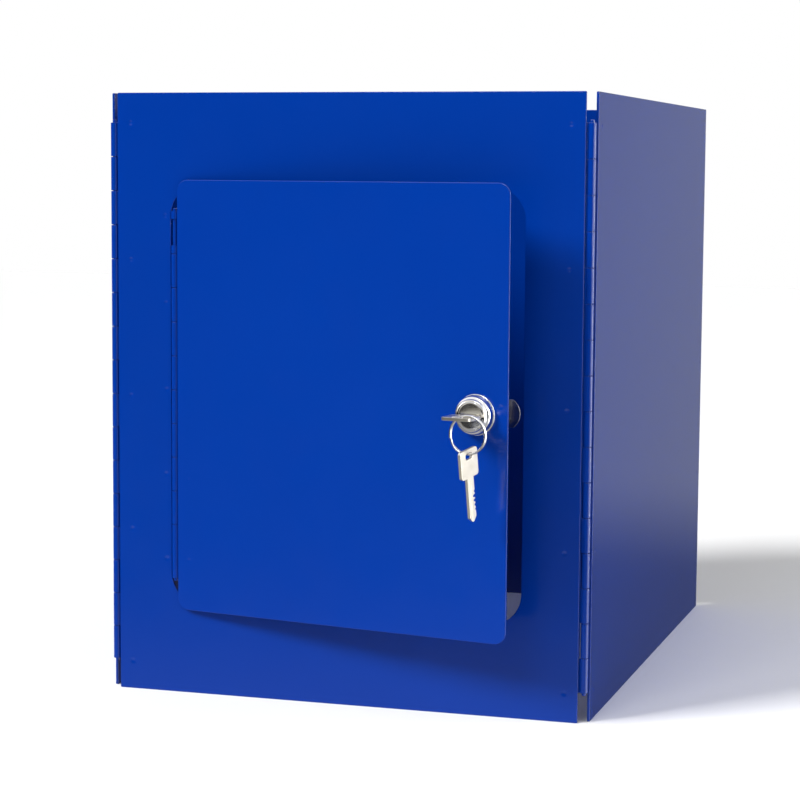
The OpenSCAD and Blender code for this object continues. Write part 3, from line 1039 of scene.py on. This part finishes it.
def paleFloor(tree, where):
    cloud = tree.noise(where, 40.0)
    return {
        "Base Color": tree.blendColour(cloud, (0.95, 0.95, 0.95, 1), (0.97, 0.97, 0.97, 1)),
        "Roughness": 0.6 + tree.noise(where, 300.0) * 0.1,
    }


# floor, lights and camera
def makeStage():
    floor = Shape()
    size = 6.0
    start = floor.row([(-size, -size), (size, -size), (size, size), (-size, size)], 0)
    floor.faces.append((start, start + 1, start + 2, start + 3))
    mesh = meshOf(floor, "floor")
    mesh.materials.append(makeMaterial("paleFloor", {"Metallic": 0.0}, paleFloor))
    piece = bpy.data.objects.new("floor", mesh)
    scene.collection.objects.link(piece)
    piece.visible_glossy = False


def addLight(name, where, size, energy, target):
    data = bpy.data.lights.new(name, "AREA")
    data.shape = "RECTANGLE"
    data.size, data.size_y = size
    data.energy = energy
    light = bpy.data.objects.new(name, data)
    scene.collection.objects.link(light)
    light.location = where
    light.rotation_euler = (Vector(target) - Vector(where)).to_track_quat("-Z", "Y").to_euler()


studio = {
    "sun": 3.9,
    "sunAngle": 18,
    "sunFrom": (-0.72, -0.66, 0.72),
    "fill": 0.25,         # light from all round
    "overhead": 1.1,      # what shiny parts see above them
    "right": 2.8,         # a soft box on the right
    "rightWall": 0.42,    # and the wall round it
    "behind": 0.33,       # and behind the box
    "floorAhead": 0.45,   # and on the floor in front of it
    "farFloor": 0.7,      # how much darker the floor behind it is
    # name, place, size and power
    "boxes": (
        ("keyBox", (-0.3, -2.3, 1.9), (1.0, 0.6), 18),
        ("rightStrip", (2.3, 0.5, 0.6), (0.3, 1.8), 24),
        ("frontStrip", (1.9, -1.3, 0.9), (0.12, 1.4), 7),
    ),
}
# where each part of the room starts along its axis of the ray, and how sharply
room = {
    "ahead": (0, -4),
    "nearFloor": (-0.215, -30),
    "farFloor": (-0.155, -30),
    "above": (0.14, 3.5),
    "right": (0.78, 9),
    "rightWall": (0.5, 6),
    "boxEnd": (0.52, -8),
}


def makeLights():
    middle = (cadLow + cadHigh) / 2
    data = bpy.data.lights.new("sun", "SUN")
    data.energy = studio["sun"]
    data.angle = math.radians(studio["sunAngle"])
    sun = bpy.data.objects.new("sun", data)
    scene.collection.objects.link(sun)
    sun.rotation_euler = Vector(studio["sunFrom"]).to_track_quat("Z", "Y").to_euler()
    sun.visible_glossy = False
    for name, where, size, energy in studio["boxes"]:
        addLight(name, where, size, energy, middle)


# white to the camera; shiny surfaces see a dark room with a bright ceiling and floor
def makeWorld():
    world = bpy.data.worlds.new("studioWorld")
    scene.world = world
    world.use_nodes = True
    world.node_tree.nodes.clear()
    tree = Tree(world.node_tree)
    where = tree.wire("ShaderNodeTexCoord", out=3)
    parts = tree.add("ShaderNodeSeparateXYZ", None, {0: where})
    x, y, z = (Wire(world.node_tree, socket) for socket in parts.outputs)
    rays = tree.add("ShaderNodeLightPath")
    isCamera = Wire(world.node_tree, rays.outputs["Is Camera Ray"])
    isGlossy = Wire(world.node_tree, rays.outputs["Is Glossy Ray"])
    def rise(value, part, start=0.0):
        at, slope = room[part]
        return ((value - at) * slope + start).clamped()

    ahead = rise(y, "ahead", 0.5)
    nearFloor, farFloor = rise(z, "nearFloor", 0.5), rise(z, "farFloor", 0.5)
    behind = (1 - farFloor * studio["farFloor"]) * studio["behind"]
    seen = ahead * nearFloor * studio["floorAhead"] + (1 - ahead) * behind
    seen = seen + rise(z, "above") * studio["overhead"]
    seen = seen + rise(x, "right") * rise(y, "boxEnd") * studio["right"]
    seen = seen + rise(x, "rightWall") * studio["rightWall"]
    other = isGlossy * seen + (1 - isGlossy) * studio["fill"]
    strength = isCamera * 1.0 + (1 - isCamera) * other
    glow = tree.add("ShaderNodeBackground", None, {"Color": (1, 1, 1, 1), "Strength": strength})
    tree.add("ShaderNodeOutputWorld", None, {"Surface": Wire(world.node_tree, glow.outputs[0])})


makeStage()
makeLights()
makeWorld()
scene.view_settings.view_transform = "Standard"

camera = {
    # from the foot of the front panel, in panel heights
    "x": 1.146, "y": -3.424, "z": 0.8751,
    "yaw": 17.04, "pitch": 5.858, "roll": 0.401,
    "lens": 100.6, "sensor": 36, "clipStart": 0.05,
}


def makeCamera():
    low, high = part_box("front_panel")
    tall = high.z - low.z
    data = bpy.data.cameras.new("camera")
    data.lens = camera["lens"]
    data.sensor_width = camera["sensor"]
    data.clip_start = camera["clipStart"]
    piece = bpy.data.objects.new("camera", data)
    scene.collection.objects.link(piece)
    yaw, pitch, roll = (math.radians(camera[k]) for k in ("yaw", "pitch", "roll"))
    ahead = Vector((-math.sin(yaw) * math.cos(pitch), math.cos(yaw) * math.cos(pitch), -math.sin(pitch)))
    right = Vector((math.cos(yaw), math.sin(yaw), 0))
    above = right.cross(ahead)
    turnedRight = right * math.cos(roll) + above * math.sin(roll)
    turnedUp = above * math.cos(roll) - right * math.sin(roll)
    place = Matrix((turnedRight, turnedUp, -ahead)).transposed().to_4x4()
    foot = Vector(((low.x + high.x) / 2, low.y, low.z))
    place.translation = foot + Vector((camera["x"], camera["y"], camera["z"])) * tall
    piece.matrix_world = place
    scene.camera = piece


makeCamera()
print("stage made")
